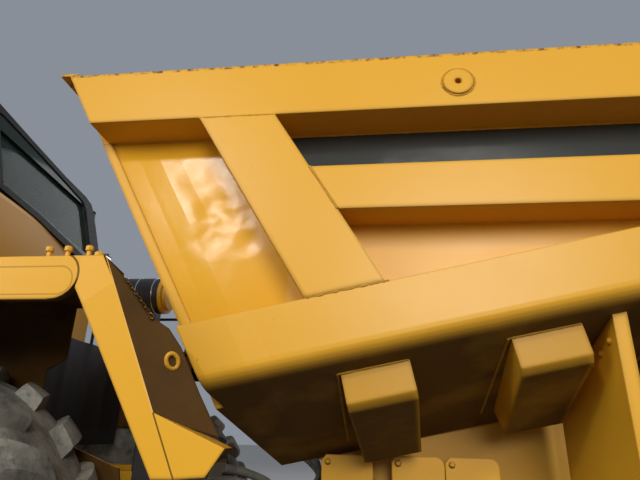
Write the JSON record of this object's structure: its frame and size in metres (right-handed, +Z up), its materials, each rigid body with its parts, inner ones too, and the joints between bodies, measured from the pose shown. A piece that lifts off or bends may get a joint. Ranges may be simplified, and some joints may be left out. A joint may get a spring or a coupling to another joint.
{
  "type": "articulated dump truck",
  "caption": "Six-wheel articulated dump truck with a cab, tilting hood, centre hitch, wide tyres and a ribbed tipping body on two hoist cylinders",
  "frame": {"origin": "on the ground, under the middle of the overall length, on the centre plane", "axes": "+X forward, +Y to the truck's left, +Z up"},
  "size_m": [10.9, 3.52, 3.7408],
  "materials": {
    "yellow_paint": "gloss",
    "black_paint": "satin",
    "dark_iron": "matte",
    "steel_rod": "polished",
    "tyre_rubber": "matte",
    "tinted_glass": "gloss",
    "cab_plastic": "matte",
    "lens": "gloss"
  },
  "bodies": {
    "tractor": {"front_frame": "yellow_paint", "front_axle": "dark_iron", "engine": "dark_iron", "bumper": "black_paint", "cab_shell": "yellow_paint", "cab_glass": "tinted_glass", "cab_interior": "cab_plastic", "fender_left": "yellow_paint", "fender_right": "yellow_paint", "steps": "black_paint", "handrails": "black_paint", "mirrors": "cab_plastic", "headlamps": "lens", "air_cleaner": "black_paint", "exhaust": "black_paint"},
    "door": {"cab_door": "yellow_paint"},
    "hood_lid": {"hood": "yellow_paint", "grille": "black_paint"},
    "hitch": {"hitch_yoke": "yellow_paint"},
    "rear_unit": {"rear_frame": "yellow_paint", "mid_axle": "dark_iron", "rear_axle": "dark_iron", "walking_beams": "black_paint", "body_rests": "yellow_paint", "tail_lamps": "lens"},
    "dump_body": {"dump_tub": "yellow_paint", "dump_rails": "yellow_paint", "dump_ribs": "yellow_paint", "mudguards": "yellow_paint"},
    "hoist_barrel_left_body": {"hoist_barrel_left": "black_paint"},
    "hoist_rod_left_body": {"hoist_rod_left": "steel_rod"},
    "hoist_barrel_right_body": {"hoist_barrel_right": "black_paint"},
    "hoist_rod_right_body": {"hoist_rod_right": "steel_rod"},
    "steer_barrel_left_body": {"steer_barrel_left": "black_paint"},
    "steer_rod_left_body": {"steer_rod_left": "steel_rod"},
    "steer_barrel_right_body": {"steer_barrel_right": "black_paint"},
    "steer_rod_right_body": {"steer_rod_right": "steel_rod"},
    "wheel_front_left": {"tyre_front_left": "tyre_rubber", "rim_front_left": "yellow_paint"},
    "wheel_front_right": {"tyre_front_right": "tyre_rubber", "rim_front_right": "yellow_paint"},
    "wheel_mid_left": {"tyre_mid_left": "tyre_rubber", "rim_mid_left": "yellow_paint"},
    "wheel_mid_right": {"tyre_mid_right": "tyre_rubber", "rim_mid_right": "yellow_paint"},
    "wheel_rear_left": {"tyre_rear_left": "tyre_rubber", "rim_rear_left": "yellow_paint"},
    "wheel_rear_right": {"tyre_rear_right": "tyre_rubber", "rim_rear_right": "yellow_paint"}
  },
  "joints": [
    {"name": "steer", "type": "hinge", "parent": "tractor", "child": "hitch", "pos_m": [0.86, 0, 0.95], "axis": [0, 0, 1], "range_deg": [-45, 45]},
    {"name": "roll", "type": "hinge", "parent": "hitch", "child": "rear_unit", "pos_m": [0.4, 0, 0.95], "axis": [-1, 0, 0], "range_deg": [-6, 6]},
    {"name": "dump", "type": "hinge", "parent": "rear_unit", "child": "dump_body", "pos_m": [-4.25, 0, 1.9], "axis": [0, -1, 0], "range_deg": [0, 70]},
    {"name": "cab_door_swing", "type": "hinge", "parent": "tractor", "child": "door", "pos_m": [3.287, 0.978, 2.54], "axis": [0, 0, 1], "range_deg": [0, 75]},
    {"name": "hood_tilt", "type": "hinge", "parent": "tractor", "child": "hood_lid", "pos_m": [5.212, 0, 1.3], "axis": [0, 1, 0], "range_deg": [0, 60]},
    {"name": "hoist_tilt_left", "type": "hinge", "parent": "rear_unit", "child": "hoist_barrel_left_body", "pos_m": [-1.1, 0.72, 0.95], "axis": [0, 1, 0], "range_deg": [-1, 8]},
    {"name": "hoist_slide_left", "type": "slide", "parent": "hoist_barrel_left_body", "child": "hoist_rod_left_body", "axis": [-0.9021, 0, 0.4315], "range_m": [-0.001, 0.96]},
    {"name": "hoist_tilt_right", "type": "hinge", "parent": "rear_unit", "child": "hoist_barrel_right_body", "pos_m": [-1.1, -0.72, 0.95], "axis": [0, 1, 0], "range_deg": [-1, 8]},
    {"name": "hoist_slide_right", "type": "slide", "parent": "hoist_barrel_right_body", "child": "hoist_rod_right_body", "axis": [-0.9021, 0, 0.4315], "range_m": [-0.001, 0.96]},
    {"name": "steer_tilt_left", "type": "hinge", "parent": "tractor", "child": "steer_barrel_left_body", "pos_m": [2.11, 0.52, 0.95], "axis": [0, 0, 1], "range_deg": [-3, 3]},
    {"name": "steer_slide_left", "type": "slide", "parent": "steer_barrel_left_body", "child": "steer_rod_left_body", "axis": [-0.9947, -0.1032, 0], "range_m": [-0.29, 0.29]},
    {"name": "steer_tilt_right", "type": "hinge", "parent": "tractor", "child": "steer_barrel_right_body", "pos_m": [2.11, -0.52, 0.95], "axis": [0, 0, 1], "range_deg": [-3, 3]},
    {"name": "steer_slide_right", "type": "slide", "parent": "steer_barrel_right_body", "child": "steer_rod_right_body", "axis": [-0.9947, 0.1032, 0], "range_m": [-0.29, 0.29]},
    {"name": "wheel_spin_front_left", "type": "hinge", "parent": "tractor", "child": "wheel_front_left", "pos_m": [2.7, 1.352, 0.935], "axis": [0, 1, 0], "continuous": true},
    {"name": "wheel_spin_front_right", "type": "hinge", "parent": "tractor", "child": "wheel_front_right", "pos_m": [2.7, -1.352, 0.935], "axis": [0, 1, 0], "continuous": true},
    {"name": "wheel_spin_mid_left", "type": "hinge", "parent": "rear_unit", "child": "wheel_mid_left", "pos_m": [-1.7, 1.352, 0.935], "axis": [0, 1, 0], "continuous": true},
    {"name": "wheel_spin_mid_right", "type": "hinge", "parent": "rear_unit", "child": "wheel_mid_right", "pos_m": [-1.7, -1.352, 0.935], "axis": [0, 1, 0], "continuous": true},
    {"name": "wheel_spin_rear_left", "type": "hinge", "parent": "rear_unit", "child": "wheel_rear_left", "pos_m": [-3.67, 1.352, 0.935], "axis": [0, 1, 0], "continuous": true},
    {"name": "wheel_spin_rear_right", "type": "hinge", "parent": "rear_unit", "child": "wheel_rear_right", "pos_m": [-3.67, -1.352, 0.935], "axis": [0, 1, 0], "continuous": true}
  ],
  "couplings": [
    {"joint": "hoist_tilt_left", "follows": "dump", "ratio": 0.077177},
    {"joint": "hoist_slide_left", "follows": "dump", "m_per_rad": 0.777},
    {"joint": "hoist_tilt_right", "follows": "dump", "ratio": 0.077177},
    {"joint": "hoist_slide_right", "follows": "dump", "m_per_rad": 0.777},
    {"joint": "steer_tilt_left", "follows": "steer", "ratio": 0.02656},
    {"joint": "steer_slide_left", "follows": "steer", "m_per_rad": 0.36376},
    {"joint": "steer_tilt_right", "follows": "steer", "ratio": 0.02656},
    {"joint": "steer_slide_right", "follows": "steer", "m_per_rad": -0.36376}
  ]
}
